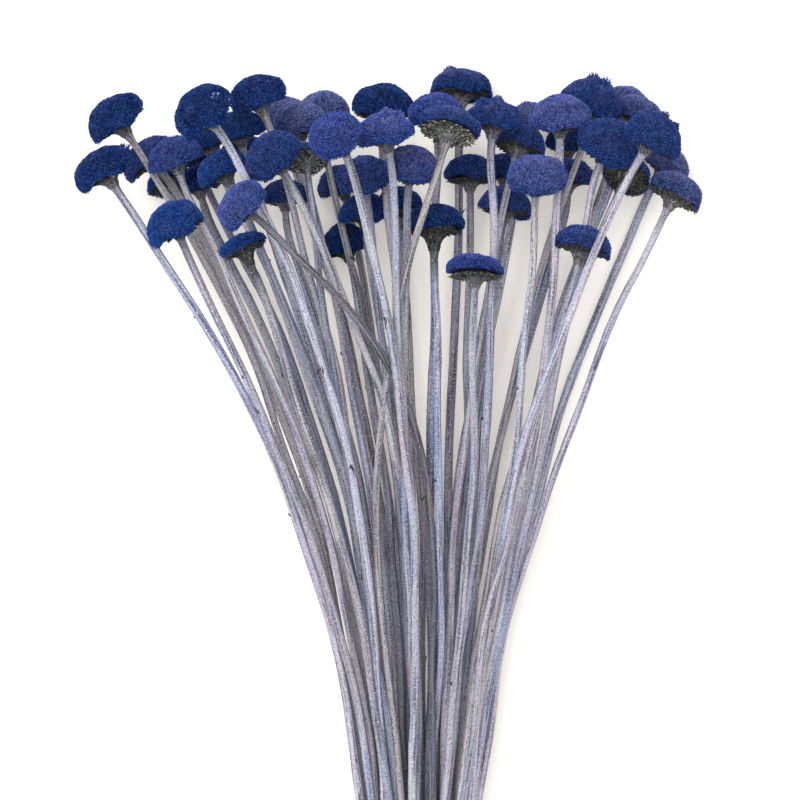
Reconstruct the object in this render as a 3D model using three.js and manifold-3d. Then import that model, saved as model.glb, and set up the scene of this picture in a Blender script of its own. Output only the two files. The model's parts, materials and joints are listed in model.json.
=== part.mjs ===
// A bunch of dried button chrysanthemum stems, laid down and held by a twine tie.
// Millimetres, +Z up. The stems run along Y, with their heads at +Y, and the bunch is seen
// from above as it lies. The origin is the bottom centre of the whole bunch.
import * as THREE from 'three';
import { mergeVertices } from 'three/addons/utils/BufferGeometryUtils.js';
import Module from 'manifold-3d';

const wasm = await Module();
wasm.setup();

// The stems: thickness, their places side by side in the tie, and their cut ends
const STEM_RADIUS = 1.25;
const STEM_VARIES = 0.1;
const GOLDEN_ANGLE = Math.PI * (3 - Math.sqrt(5));
const STEM_SIDES = 6;
const SLOT_SPACING = 2.75;
const SLOT_COLUMNS = 4;
const CUT_END = 78;
const CUT_UNEVEN = 2;
const CUT_FLARE = 1.18;

// The tie: twine wound side by side round the stems, which are pressed into one core there
const TWINE = 2;
const TWINE_TURNS = 5;
const TWINE_CREST = 0.4;
const TIE_SIDES = 16;
const TIE_ROOM = 1.1;
const OUTER_SLOT = Math.sqrt(13) * SLOT_SPACING;
const TIE_INSIDE = OUTER_SLOT + STEM_RADIUS * (1 + STEM_VARIES) + TIE_ROOM;
const TIE_OUTSIDE = TIE_INSIDE + TWINE;
const TIE_HEIGHT = TIE_OUTSIDE * Math.cos(Math.PI / TIE_SIDES);
const KNOT = { radius: 2.6, wide: 1.3, flat: 0.75, sunk: 0.6, end: 11, rise: 38, sides: 5 };
const CORE_RADIUS = TIE_INSIDE - 1.2;
const CORE_LENGTH = 8;
const SLIVER = 0.02;

// How a stem leaves the tie, arches and meets its head
const RISE = 110;
const SPREAD = 2.2;
const SWEEP = 115;
const FAN_CENTRE = 3.5;
const FAN_PER_MM = 0.352;
const WAVER = 2.5;
const SHUFFLE = 3;
const LIFT = 0.7;
const BEND = 11;
const BEND_PULL = 0.35;
const LONG_STEPS = 6;
const BEND_STEPS = 2;

// A head, as shares of its radius: the cap's outline, whose heights over the rim are shares
// of its dome, and the cup of bracts under it
const HEAD_SIDES = 12;
const CAP_OUTLINE = [[0, 0], [0.78, 0], [0.92, -0.12], [1, 0.08], [0.93, 0.5], [0.58, 0.87], [0, 1]];
const DOME = 0.8;
const FIRST_FLORET_RING = 3;
const FLORET_RELIEF = 0.035;
const OVAL = 0.03;
const CUP_OUTLINE = [[0.14, -0.62], [0.2, -0.36], [0.4, -0.16], [0.72, 0]];
const CAP_GAP = 0.3;
const UP_THE_CAP = new THREE.Vector3(0, 1, 0);

// Room that is kept when one stem is laid on the others, over a plan of small cells
const CLEARANCE = 0.4;
const STEP = 0.5;
const CELL = 0.5;
const PLAN = { left: -120, near: -10, wide: 480, long: 680 };
const LINE_POINTS = 110;
const BEND_POINTS = 6;
const FACE_STEPS = 6;

// The heads, left to right. x and y are measured from the middle of the tie, lean is the
// head's tilt to the right, face its tilt up to the viewer, and layer its place from the
// back (0) to the front (5). dome is the cap's height and cone the depth of its cup, where
// they aren't the usual ones. A stem that strays from the fan says how: stray is its own
// lean, side its place in the tie, and rise and sweep the reach of its two bends.
const HEADS = [
  { x: -98, y: 276, radius: 9.9, lean: -34, face: 5, layer: 3, dome: 0.72 },
  { x: -94, y: 292, radius: 9.8, lean: -36, face: 8, layer: 2 },
  { x: -84, y: 280, radius: 8.9, lean: -42, face: 0, layer: 2, dome: 0.7 },
  { x: -78, y: 273, radius: 7.5, lean: -20, face: -25, layer: 0 },
  { x: -76, y: 280, radius: 8.8, lean: -17, face: 8, layer: 3 },
  { x: -76, y: 259.5, radius: 9.1, lean: -22, face: 25, layer: 4 },
  { x: -70, y: 281, radius: 7.8, lean: -20, face: 10, layer: 0 },
  { x: -69, y: 272, radius: 7.5, lean: -15, face: 0, layer: 1 },
  { x: -66.5, y: 294, radius: 9.8, lean: -38, face: 24, layer: 4, stray: -28 },
  { x: -66, y: 285, radius: 8.1, lean: -25, face: 5, layer: 1 },
  { x: -61, y: 276, radius: 8.4, lean: -30, face: 0, layer: 2 },
  { x: -56, y: 288.5, radius: 8.3, lean: -12, face: 10, layer: 2 },
  { x: -55, y: 281, radius: 8.1, lean: -20, face: 5, layer: 1 },
  {
    x: -54.5, y: 265, radius: 8.4, lean: -50, face: 20, layer: 5,
    stray: -45, side: 12, rise: 200, sweep: 80,
  },
  { x: -55, y: 253, radius: 7.5, lean: -24, face: -8, layer: 4, dome: 0.45, cone: 1.7 },
  { x: -50, y: 298.5, radius: 9, lean: -22, face: 10, layer: 3 },
  { x: -45, y: 280, radius: 9.7, lean: -33, face: 25, layer: 4, stray: -27 },
  { x: -42, y: 293.5, radius: 7.8, lean: -8, face: 10, layer: 1 },
  { x: -42, y: 268, radius: 7.5, lean: -3, face: -5, layer: 2 },
  { x: -37, y: 291, radius: 8.9, lean: -3, face: 15, layer: 3 },
  { x: -35, y: 280, radius: 7.2, lean: -4, face: -35, layer: 4, dome: 0.6, stray: -7 },
  { x: -29.5, y: 295, radius: 8, lean: 2, face: 10, layer: 1 },
  { x: -25.5, y: 286.5, radius: 8.5, lean: -28, face: 42, layer: 5, stray: -15 },
  { x: -24, y: 272, radius: 7.8, lean: -15, face: 10, layer: 1 },
  { x: -23, y: 252.5, radius: 8, lean: -18, face: 5, layer: 1, dome: 0.95 },
  { x: -17, y: 274, radius: 8.6, lean: -8, face: 25, layer: 2 },
  { x: -17, y: 263, radius: 8.1, lean: -4, face: 10, layer: 1 },
  { x: -11.2, y: 295.5, radius: 9.7, lean: 2, face: 12, layer: 1, dome: 0.85 },
  { x: -10.5, y: 287, radius: 9.3, lean: -12, face: 8, layer: 4, stray: -2 },
  { x: -6, y: 266, radius: 7.2, lean: 0, face: 0, layer: 0 },
  { x: -2.5, y: 277, radius: 8.4, lean: 8, face: 32, layer: 3 },
  { x: 4.7, y: 259, radius: 9.4, lean: 0, face: -8, layer: 2, dome: 0.75, cone: 1.5 },
  { x: 5.5, y: 293, radius: 9.2, lean: -3, face: 12, layer: 2 },
  {
    x: 9.4, y: 289, radius: 9.6, lean: 15, face: -25, layer: 5, dome: 0.7,
    stray: 19, side: -6,
  },
  { x: 13.2, y: 302, radius: 9.8, lean: 2, face: -12, layer: 1, dome: 0.68 },
  { x: 16, y: 274.5, radius: 8, lean: 0, face: -8, layer: 2, dome: 0.9, stray: 0 },
  { x: 17.5, y: 244.5, radius: 8.9, lean: 2, face: -10, layer: 5, dome: 0.62, stray: 0 },
  { x: 23.2, y: 291.5, radius: 9.3, lean: 5, face: -3, layer: 4, dome: 0.75, stray: -2 },
  { x: 27, y: 276, radius: 7.5, lean: 4, face: 0, layer: 1 },
  { x: 27, y: 265, radius: 8.4, lean: 8, face: -10, layer: 3 },
  { x: 31.3, y: 284.5, radius: 8.4, lean: 15, face: -18, layer: 3, stray: 12 },
  { x: 35, y: 292, radius: 7.5, lean: 5, face: 5, layer: 2 },
  { x: 36.6, y: 273.8, radius: 9.6, lean: 3, face: 24, layer: 5, dome: 0.75, stray: 3 },
  { x: 44, y: 292, radius: 9.4, lean: 0, face: 15, layer: 4, dome: 0.85, stray: 2 },
  { x: 47, y: 285, radius: 7.5, lean: 5, face: 5, layer: 1 },
  { x: 47, y: 274, radius: 7.8, lean: 5, face: 0, layer: 2 },
  { x: 51.3, y: 253, radius: 9.1, lean: 14, face: -8, layer: 5, dome: 0.66, cone: 1.3 },
  { x: 53.5, y: 296.5, radius: 9.8, lean: 10, face: 5, layer: 2, dome: 0.9 },
  { x: 59, y: 284, radius: 9.9, lean: 25, face: 32, layer: 4, stray: 10 },
  { x: 65, y: 297, radius: 7.8, lean: 12, face: 5, layer: 1 },
  { x: 65, y: 275, radius: 7.8, lean: 25, face: -45, layer: 3 },
  { x: 68, y: 294, radius: 8, lean: 18, face: 5, layer: 2 },
  { x: 72.5, y: 286.2, radius: 9.7, lean: 32, face: 15, layer: 5, stray: 26 },
  { x: 77, y: 278, radius: 7.8, lean: 32, face: 10, layer: 2 },
  { x: 80, y: 269, radius: 9.1, lean: 28, face: -10, layer: 4, dome: 0.72 },
];

// Materials: dyed florets, dusty stalks and natural twine
const FLORETS = new THREE.MeshStandardMaterial({ color: 0x2c3c78, roughness: 0.95, metalness: 0 });
const STALKS = new THREE.MeshStandardMaterial({ color: 0x8c8b99, roughness: 0.85, metalness: 0 });
const TWINES = new THREE.MeshStandardMaterial({ color: 0xb49b72, roughness: 0.9, metalness: 0 });

function radians(degrees) {
  return THREE.MathUtils.degToRad(degrees);
}

// The places of the stems in the tie: close packed round the middle one, and numbered column
// by column, left to right, from the bottom of each column to its top
function stemSlots(count) {
  const across = SLOT_SPACING * Math.sqrt(0.75);
  const slots = [];
  for (let column = -SLOT_COLUMNS; column <= SLOT_COLUMNS; column += 1) {
    for (let row = -SLOT_COLUMNS - 1; row <= SLOT_COLUMNS + 1; row += 1) {
      const shift = Math.abs(column % 2) / 2;
      const x = column * across;
      const z = (row + shift) * SLOT_SPACING;
      const nearness = Math.round(Math.hypot(x, z) * 1000);
      slots.push({ column, x, z, nearness });
    }
  }
  slots.sort((a, b) => a.nearness - b.nearness || a.z - b.z || a.x - b.x);
  return slots.slice(0, count).sort((a, b) => a.x - b.x || a.z - b.z);
}

// Gives each head its place in the tie: heads on the left take the left columns, and the
// heads at the back take the low places of their column.
function tieHeads(heads, slots) {
  const fromLeft = heads.slice().sort((a, b) => fanSide(a) - fanSide(b));
  const tied = [];
  for (let column = -SLOT_COLUMNS; column <= SLOT_COLUMNS; column += 1) {
    const places = slots.filter((slot) => slot.column === column);
    const group = fromLeft.splice(0, places.length);
    group.sort((a, b) => a.layer - b.layer || a.y - b.y);
    group.forEach((head, row) => tied.push({ ...head, slot: places[row] }));
  }
  return tied;
}

// Where a stem stands in the fan, in the heads' own millimetres, a little out of turn so that
// the stems cross as they do in a bunch gathered by hand
function fanSide(head) {
  return head.side ?? head.x + SHUFFLE * Math.sin(GOLDEN_ANGLE * HEADS.indexOf(head));
}

// The way a head faces, out of its cap
function headAxis(head) {
  const lean = radians(head.lean);
  const face = radians(head.face);
  return new THREE.Vector3(
    Math.sin(lean) * Math.cos(face),
    Math.cos(lean) * Math.cos(face),
    Math.sin(face),
  );
}

// The stem's middle line from its cut end to its cap, with the cap's base at this height
function stemPath(head, height) {
  const { slot } = head;
  const axis = headAxis(head);
  const lean = new THREE.Vector3(Math.sin(radians(head.stray)), Math.cos(radians(head.stray)), 0);
  const cap = new THREE.Vector3(head.x, head.y, height);
  const cup = cap.clone().addScaledVector(axis, CUP_OUTLINE[0][1] * head.cone * head.radius);
  const middle = axis.clone().add(lean).normalize();
  const neck = cup.clone().addScaledVector(middle, -BEND);
  const place = new THREE.Vector3(slot.x, 0, TIE_HEIGHT + slot.z);
  const foot = new THREE.Vector3(slot.x * CUT_FLARE, head.cut, TIE_HEIGHT + slot.z * CUT_FLARE);
  const low = new THREE.Vector3(slot.x * SPREAD, head.rise ?? RISE, place.z);
  const high = neck.clone().addScaledVector(lean, -(head.sweep ?? SWEEP));
  high.z = THREE.MathUtils.lerp(place.z, neck.z, LIFT);
  const pull = BEND * BEND_PULL;
  const long = new THREE.CubicBezierCurve3(place, low, high, neck);
  const bend = new THREE.CubicBezierCurve3(
    neck,
    neck.clone().addScaledVector(long.getTangent(1), pull),
    cup.clone().addScaledVector(axis, -pull),
    cup,
  );
  return { foot, long, bend, cap, axis };
}

// A closed mesh with only merged positions, and no faces drawn in to nothing
function closed(geometry) {
  geometry.deleteAttribute('normal');
  geometry.deleteAttribute('uv');
  const merged = mergeVertices(geometry, 1e-4);
  const corners = merged.index.array;
  const kept = [];
  for (let i = 0; i < corners.length; i += 3) {
    const [a, b, c] = corners.slice(i, i + 3);
    if (a !== b && b !== c && c !== a) kept.push(a, b, c);
  }
  merged.setIndex(kept);
  return merged;
}

function toSolid(geometry) {
  const mesh = new wasm.Mesh({
    numProp: 3,
    vertProperties: geometry.getAttribute('position').array,
    triVerts: new Uint32Array(geometry.index.array),
  });
  return new wasm.Manifold(mesh);
}

function toGeometry(solid) {
  const { vertProperties, triVerts } = solid.getMesh();
  const geometry = new THREE.BufferGeometry();
  geometry.setAttribute('position', new THREE.BufferAttribute(vertProperties, 3));
  geometry.setIndex(new THREE.BufferAttribute(triVerts, 1));
  return geometry;
}

// The fused solid, without slivers and loose scraps, and with its sealed hollows filled
function fused(solids) {
  const bodies = wasm.Manifold.union(solids).simplify(SLIVER).decompose();
  bodies.sort((a, b) => b.volume() - a.volume());
  return toGeometry(bodies[0]);
}

// A turned rod bent along a line: each ring of the rod is carried to its own station
function bentRod(stations, sides) {
  const last = stations.length - 1;
  const outline = stations.map(({ radius }, k) => new THREE.Vector2(radius, k));
  const ends = [new THREE.Vector2(0, 0), ...outline, new THREE.Vector2(0, last)];
  const rod = closed(new THREE.LatheGeometry(ends, sides));
  const frames = carriedFrames(stations);
  const positions = rod.getAttribute('position');
  for (let i = 0; i < positions.count; i += 1) {
    const { centre, across, over } = frames[Math.round(positions.getY(i))];
    const point = centre.clone()
      .addScaledVector(across, positions.getX(i))
      .addScaledVector(over, positions.getZ(i));
    positions.setXYZ(i, point.x, point.y, point.z);
  }
  return rod;
}

// At each station, two directions square to the line, carried along it without twisting
function carriedFrames(stations) {
  let across = new THREE.Vector3(1, 0, 0);
  return stations.map(({ centre, along }) => {
    across = across.clone().addScaledVector(along, -across.dot(along)).normalize();
    return { centre, across, over: across.clone().cross(along) };
  });
}

// The stem and the cup of bracts at its top, as stations from the cut end to the cap
function stemStations(head, height, longSteps, bendSteps) {
  const { long, bend, cap, axis, foot } = stemPath(head, height);
  const stations = [{ centre: foot, along: long.getTangent(0), radius: head.thickness }];
  for (let k = 0; k < longSteps; k += 1) {
    const t = k / longSteps;
    stations.push({ centre: long.getPoint(t), along: long.getTangent(t), radius: head.thickness });
  }
  for (let k = 0; k < bendSteps; k += 1) {
    const t = k / bendSteps;
    stations.push({ centre: bend.getPoint(t), along: bend.getTangent(t), radius: head.thickness });
  }
  CUP_OUTLINE.forEach(([width, below]) => {
    const depth = below * head.cone * head.radius - CAP_GAP;
    const centre = cap.clone().addScaledVector(axis, depth);
    stations.push({ centre, along: axis, radius: width * head.radius });
  });
  return stations;
}

// The cap of florets about +Y, with its flat base at the origin. Every other corner of its
// outline stands out, so that the cap is knobbly all over, as packed florets are.
function capGeometry(head) {
  const outline = CAP_OUTLINE.map(([width, height]) => {
    const rise = height > 0 ? height * head.dome : height;
    return new THREE.Vector2(width * head.radius, rise * head.radius);
  });
  const cap = new THREE.LatheGeometry(outline, HEAD_SIDES);
  const positions = cap.getAttribute('position');
  for (let i = 0; i < positions.count; i += 1) {
    const ring = i % outline.length;
    const side = Math.floor(i / outline.length) % HEAD_SIDES;
    const turn = (2 * Math.PI * side) / HEAD_SIDES;
    const oval = 1 + OVAL * Math.sin(2 * turn + head.turn);
    const isKnobbly = ring >= FIRST_FLORET_RING && ring < outline.length - 1;
    const knob = isKnobbly ? FLORET_RELIEF * (-1) ** (side + ring) : 0;
    const stretch = oval * (1 + knob);
    positions.setXYZ(
      i,
      positions.getX(i) * stretch,
      positions.getY(i) * (1 + knob),
      positions.getZ(i) * stretch,
    );
  }
  return closed(cap);
}

// Turns and carries a cap to its place on its stem
function capPlace(head, height) {
  const turn = new THREE.Quaternion().setFromUnitVectors(UP_THE_CAP, headAxis(head));
  const place = new THREE.Vector3(head.x, head.y, height);
  return new THREE.Matrix4().compose(place, turn, new THREE.Vector3(1, 1, 1));
}

function emptyPlan() {
  const size = PLAN.wide * PLAN.long;
  return { caps: new Float32Array(size).fill(-1), stems: new Float32Array(size).fill(-1) };
}

function cellAt(x, y) {
  const column = Math.round((x - PLAN.left) / CELL);
  const row = Math.round((y - PLAN.near) / CELL);
  const inside = column >= 0 && row >= 0 && column < PLAN.wide && row < PLAN.long;
  return inside ? row * PLAN.wide + column : -1;
}

// The cells under a round patch
function cellsUnder(x, y, radius) {
  const cells = [];
  for (let dx = -radius; dx <= radius; dx += CELL / 2) {
    for (let dy = -radius; dy <= radius; dy += CELL / 2) {
      const cell = cellAt(x + dx, y + dy);
      if (Math.hypot(dx, dy) <= radius && !cells.includes(cell)) cells.push(cell);
    }
  }
  return cells.filter((cell) => cell >= 0);
}

// A cap's lowest and highest point over each cell, from points spread over its faces
function capShadow(geometry) {
  const shadow = new Map();
  const positions = geometry.getAttribute('position');
  const corners = [0, 1, 2].map(() => new THREE.Vector3());
  const point = new THREE.Vector3();
  for (let first = 0; first < geometry.index.count; first += 3) {
    corners.forEach((corner, k) => {
      corner.fromBufferAttribute(positions, geometry.index.getX(first + k));
    });
    for (let i = 0; i <= FACE_STEPS; i += 1) {
      for (let j = 0; j <= FACE_STEPS - i; j += 1) {
        const [a, b] = [i / FACE_STEPS, j / FACE_STEPS];
        point.copy(corners[0]).multiplyScalar(a)
          .addScaledVector(corners[1], b)
          .addScaledVector(corners[2], 1 - a - b);
        const cell = cellAt(point.x, point.y);
        const seen = shadow.get(cell) ?? { low: Infinity, high: -Infinity };
        seen.low = Math.min(seen.low, point.z);
        seen.high = Math.max(seen.high, point.z);
        shadow.set(cell, seen);
      }
    }
  }
  return shadow;
}

// The highest thing over a cell and the cells next to it
function topNear(tops, cell) {
  let top = -1;
  for (const rows of [-PLAN.wide, 0, PLAN.wide]) {
    for (const columns of [-1, 0, 1]) top = Math.max(top, tops[cell + rows + columns] ?? -1);
  }
  return top;
}

// Whether a stem that is laid at this height would run into what lies there already, or
// into the surface. Stems may press on stems, since they are joined there.
function isBlocked(head, height, shadow, plan) {
  for (const [cell, { low }] of shadow) {
    const top = Math.max(topNear(plan.caps, cell), topNear(plan.stems, cell));
    if (top >= 0 && low + height < top + CLEARANCE) return true;
  }
  const line = stemStations(head, height, LINE_POINTS, BEND_POINTS);
  return line.some(({ centre, radius }) => (
    centre.z < radius
    || cellsUnder(centre.x, centre.y, radius).some((cell) => {
      const top = topNear(plan.caps, cell);
      return top >= 0 && centre.z - radius < top + CLEARANCE;
    })
  ));
}

// Notes the tops of a stem that has found its height
function noteTops(head, height, shadow, plan) {
  for (const [cell, { high }] of shadow) {
    plan.caps[cell] = Math.max(plan.caps[cell], high + height);
  }
  for (const { centre, radius } of stemStations(head, height, LINE_POINTS, BEND_POINTS)) {
    for (const cell of cellsUnder(centre.x, centre.y, radius)) {
      plan.stems[cell] = Math.max(plan.stems[cell], centre.z + radius);
    }
  }
}

// Lays the stems one on the other, each as low as it goes: the back ones first, and of one
// layer the small ones first
function layHeads(heads) {
  const plan = emptyPlan();
  const order = heads.slice().sort((a, b) => a.layer - b.layer || a.radius - b.radius);
  for (const head of order) {
    const cap = capGeometry(head).applyMatrix4(capPlace(head, 0));
    cap.computeBoundingBox();
    const shadow = capShadow(cap);
    head.height = -cap.boundingBox.min.z;
    while (isBlocked(head, head.height, shadow, plan)) head.height += STEP;
    noteTops(head, head.height, shadow, plan);
  }
}

function capMesh(head, number) {
  const mesh = new THREE.Mesh(capGeometry(head), FLORETS);
  mesh.name = `florets_${String(number).padStart(2, '0')}`;
  mesh.applyMatrix4(capPlace(head, head.height));
  return mesh;
}

// All the stalks with their cups, joined where they press together, above all in the tie
function stalksMesh(heads) {
  const core = new THREE.CylinderGeometry(CORE_RADIUS, CORE_RADIUS, CORE_LENGTH, TIE_SIDES);
  core.translate(0, 0, TIE_HEIGHT);
  const stalks = heads.map((head) => (
    bentRod(stemStations(head, head.height, LONG_STEPS, BEND_STEPS), STEM_SIDES)
  ));
  const mesh = new THREE.Mesh(fused([closed(core), ...stalks].map(toSolid)), STALKS);
  mesh.name = 'stalks';
  return mesh;
}

// The twine's knot on top of the turns, with its two cut ends standing off to the sides
function knotSolids() {
  const foot = new THREE.Vector3(0, 0, TIE_OUTSIDE + KNOT.radius * (1 - KNOT.sunk));
  const knot = new THREE.SphereGeometry(KNOT.radius, 2 * KNOT.sides, KNOT.sides);
  knot.scale(KNOT.wide, 1, KNOT.flat).translate(foot.x, foot.y, foot.z);
  const ends = [-1, 1].map((way) => {
    const rise = radians(KNOT.rise);
    const along = new THREE.Vector3(way * Math.cos(rise), 0, Math.sin(rise));
    const stations = [0, 0.5, 1].map((share) => ({
      centre: foot.clone().addScaledVector(along, share * KNOT.end),
      along,
      radius: TWINE / 2,
    }));
    return bentRod(stations, KNOT.sides);
  });
  return [closed(knot), ...ends].map(toSolid);
}

// Twine wound round the stems: a ring whose turns stand out, with flat crests, so that the
// lowest face of its middle turn is a flat spot that the bunch rests on
function tieMesh() {
  const width = TWINE * TWINE_TURNS;
  const crest = TWINE * TWINE_CREST;
  const valley = TIE_OUTSIDE - crest;
  const outline = [new THREE.Vector2(TIE_INSIDE, -width / 2)];
  for (let turn = 0; turn < TWINE_TURNS; turn += 1) {
    const near = -width / 2 + turn * TWINE;
    outline.push(new THREE.Vector2(valley, near));
    outline.push(new THREE.Vector2(TIE_OUTSIDE, near + (TWINE - crest) / 2));
    outline.push(new THREE.Vector2(TIE_OUTSIDE, near + (TWINE + crest) / 2));
  }
  outline.push(new THREE.Vector2(valley, width / 2));
  outline.push(new THREE.Vector2(TIE_INSIDE, width / 2));
  outline.push(outline[0].clone());
  const ring = closed(new THREE.LatheGeometry(outline, TIE_SIDES, Math.PI / TIE_SIDES));
  const mesh = new THREE.Mesh(fused([toSolid(ring), ...knotSolids()]), TWINES);
  mesh.name = 'tie';
  mesh.position.set(0, 0, TIE_HEIGHT);
  return mesh;
}

const slots = stemSlots(HEADS.length);
const heads = tieHeads(HEADS, slots).map((head, index) => {
  const turn = GOLDEN_ANGLE * (index + 1);
  return {
    dome: DOME,
    cone: 1,
    stray: FAN_PER_MM * (head.x - FAN_CENTRE) + WAVER * Math.sin(3 * turn),
    turn,
    thickness: STEM_RADIUS * (1 + STEM_VARIES * Math.sin(turn)),
    cut: -CUT_END + CUT_UNEVEN * Math.sin(5 * turn),
    ...head,
  };
});
layHeads(heads);

const bunch = new THREE.Group();
bunch.add(...heads.map((head, index) => capMesh(head, index + 1)));
bunch.add(stalksMesh(heads));
bunch.add(tieMesh());

// The bottom centre of the bunch is moved to the origin
const extent = new THREE.Box3().setFromObject(bunch, true);
const middle = extent.getCenter(new THREE.Vector3());
bunch.position.set(-middle.x, -middle.y, -extent.min.z);

export default bunch;
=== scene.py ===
# The looks of a tied bunch of dried button chrysanthemum stems, lying on a white surface and
# seen from straight above. Lengths are worked out in millimetres, and the finished meshes are
# in metres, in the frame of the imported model, +Z up.
import json
import math
import random
from types import SimpleNamespace

import bpy
import numpy as np
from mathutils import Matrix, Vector, noise

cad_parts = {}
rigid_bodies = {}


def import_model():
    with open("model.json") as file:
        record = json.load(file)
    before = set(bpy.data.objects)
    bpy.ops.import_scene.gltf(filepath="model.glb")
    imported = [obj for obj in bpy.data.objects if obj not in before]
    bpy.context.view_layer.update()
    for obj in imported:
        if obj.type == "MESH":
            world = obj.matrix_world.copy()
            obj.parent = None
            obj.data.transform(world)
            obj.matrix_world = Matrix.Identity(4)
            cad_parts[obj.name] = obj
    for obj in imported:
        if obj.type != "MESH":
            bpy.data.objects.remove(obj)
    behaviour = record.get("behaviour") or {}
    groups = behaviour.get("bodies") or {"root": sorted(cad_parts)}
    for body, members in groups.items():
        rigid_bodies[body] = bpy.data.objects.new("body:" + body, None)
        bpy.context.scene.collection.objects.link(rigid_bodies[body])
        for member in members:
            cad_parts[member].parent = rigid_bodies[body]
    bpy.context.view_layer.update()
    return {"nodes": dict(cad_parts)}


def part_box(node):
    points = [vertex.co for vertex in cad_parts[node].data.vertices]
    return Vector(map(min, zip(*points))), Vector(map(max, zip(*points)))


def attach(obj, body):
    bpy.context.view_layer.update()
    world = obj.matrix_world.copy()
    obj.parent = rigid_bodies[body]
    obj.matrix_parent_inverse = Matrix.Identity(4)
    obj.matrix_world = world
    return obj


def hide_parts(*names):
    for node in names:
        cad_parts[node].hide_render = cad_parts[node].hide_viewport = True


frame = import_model()

MM = 0.001
BLOOMS = 55
GOLDEN_ANGLE = math.pi * (3 - math.sqrt(5))
FULL_TURN = 2 * math.pi

# Where each kind of random draw starts. The draws for one stalk or bloom add its number.
SEEDS = {
    "crooks": 0, "joints": 1000, "stalks": 2000, "bracts": 3000, "stubs": 4000,
    "snags": 5, "scraps": 6, "fibres": 7,
}

# The photograph's frame: how wide it is, at what height, and where its middle lies from the
# tie's, with the camera's distance
FRAME_WIDE = 250
FRAME_HEIGHT = 45
SEEN_FROM_TIE = (-5.9, 205)
CAMERA_FAR = 10000
SENSOR = 36

# The stalks and the tie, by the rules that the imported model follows. The stalks' places,
# close packed, reach out to the square root of 13 spacings.
STALK_RADIUS = 1.25
STALK_VARIES = 0.1
SLOT_SPACING = 2.75
SLOT_COLUMNS = 4
CUT_END = 78
CUT_UNEVEN = 2
CUT_TURNS = 5
CUT_FLARE = 1.18
TWINE = 2
TWINE_TURNS = 5
TIE_ROOM = 1.1
TIE_SIDES = 16
OUTER_SLOT = math.sqrt(13) * SLOT_SPACING
TIE_INSIDE = OUTER_SLOT + STALK_RADIUS * (1 + STALK_VARIES) + TIE_ROOM
TIE_HEIGHT = (TIE_INSIDE + TWINE) * math.cos(math.pi / TIE_SIDES)
RISE = 110
SPREAD = 2.2
SWEEP = 115
FAN_CENTRE = 3.5
FAN_PER_MM = 0.352
WAVER = 2.5
WAVER_TURNS = 3
LIFT = 0.7
BEND = 11
BEND_PULL = 0.35

# The cap's flat, and the cup's widths and depths, as shares of the cap's radius, and the
# millimetres between them
BASE_SHARE = 0.78
CUP_OUTLINE = [(0.14, -0.62), (0.2, -0.36), (0.4, -0.16), (0.72, 0)]
CUP_GAP = 0.3

# Stalks that stray from the fan, in degrees from the middle line, and the one that crosses
# the bunch, with the reach of its two bends
STRAYS = {
    9: -28, 22: -27, 23: -7, 24: -15, 30: -2, 31: 19, 34: 0, 37: -2, 38: 0,
    39: -45, 44: 12, 45: 2, 46: 3, 51: 10, 55: 26,
}
REACHES = {39: (200, 80)}

# Cups that are deeper than the others, and those that are dark down to the neck
DEEP_CUPS = {16: 1.7, 33: 1.5, 52: 1.3}
DARK_CUPS = (10, 16, 17, 25, 26, 27, 33, 50)

# Dye tones, each with how much grey lilac dust lies on it, and the blooms that took it
DYES = {
    "navy": ("#0c3176", 0.12, (2, 3, 6, 9, 15, 17, 27, 33)),
    "deep": ("#1b4c9c", 0.22, (5, 10, 11, 14, 25, 26)),
    "royal": ("#2458b2", 0.25, (8, 13, 16)),
    "ink": ("#2b4a96", 0.34, (4, 22, 32, 34, 37, 40, 41, 49, 51, 55)),
    "violet": ("#4e62b2", 0.35, (1, 7, 12, 18, 28, 29, 31, 36, 42, 44, 50, 52)),
    "blue": ("#5468c8", 0.35, (24, 30, 35, 38)),
    "lilac": ("#6a7ad2", 0.5, (39, 45, 46)),
    "grey violet": ("#7d89c8", 0.5, (19, 20, 21, 23, 43, 47, 48, 53, 54)),
}

# Blooms with more dust on them than their tone has
DUSTIER = {
    21: 0.9, 29: 1.0, 30: 0.9, 31: 0.6, 32: 0.8, 37: 0.6, 38: 0.6, 43: 1.0, 45: 0.9, 46: 0.9,
    53: 1.0, 54: 0.9,
}

# Tufts of long florets, by their direction from the bloom's middle, in degrees clockwise
# from +Y as the camera sees it
TUFTS = {3: (35, 48), 30: (5, 22), 32: (-18,), 37: (-25, 20), 49: (6, 30), 55: (0, 28, 50)}

# Where the rim hangs on the lopsided blooms, and how far, as a share of the radius
DROOPING = {
    2: (235, 0.02), 3: (225, 0.1), 8: (215, 0.16), 9: (215, 0.16), 39: (220, 0.16),
    52: (110, 0.16), 54: (120, 0.16),
}

# How far the rim lifts all round where the cup shows under it, as a share of the radius
LIFTED = {27: 0.14, 31: 0.08, 33: 0.06, 34: 0.08, 38: 0.17, 50: 0.05, 54: 0.06}


def linear(hex_colour):
    """An sRGB hex colour as linear red, green, blue and alpha."""
    shares = [int(hex_colour[i : i + 2], 16) / 255 for i in (1, 3, 5)]
    return [s / 12.92 if s <= 0.04045 else ((s + 0.055) / 1.055) ** 2.4 for s in shares] + [1]


def first_output(node):
    """The first of a node's outputs that its settings leave on."""
    return next(output for output in node.outputs if output.enabled)


def add(tree, kind, links=None, **settings):
    """A new node with its settings. A link is a value, a socket, or a node for its first output."""
    node = tree.nodes.new(kind)
    for name, value in settings.items():
        setattr(node, name, value)
    for name, value in (links or {}).items():
        live = [socket for socket in node.inputs if socket.enabled and socket.name == name]
        socket = node.inputs[name] if isinstance(name, int) else live[0]
        if isinstance(value, bpy.types.Node):
            value = first_output(value)
        if isinstance(value, bpy.types.NodeSocket):
            tree.links.new(value, socket)
        else:
            socket.default_value = value
    return node


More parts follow.
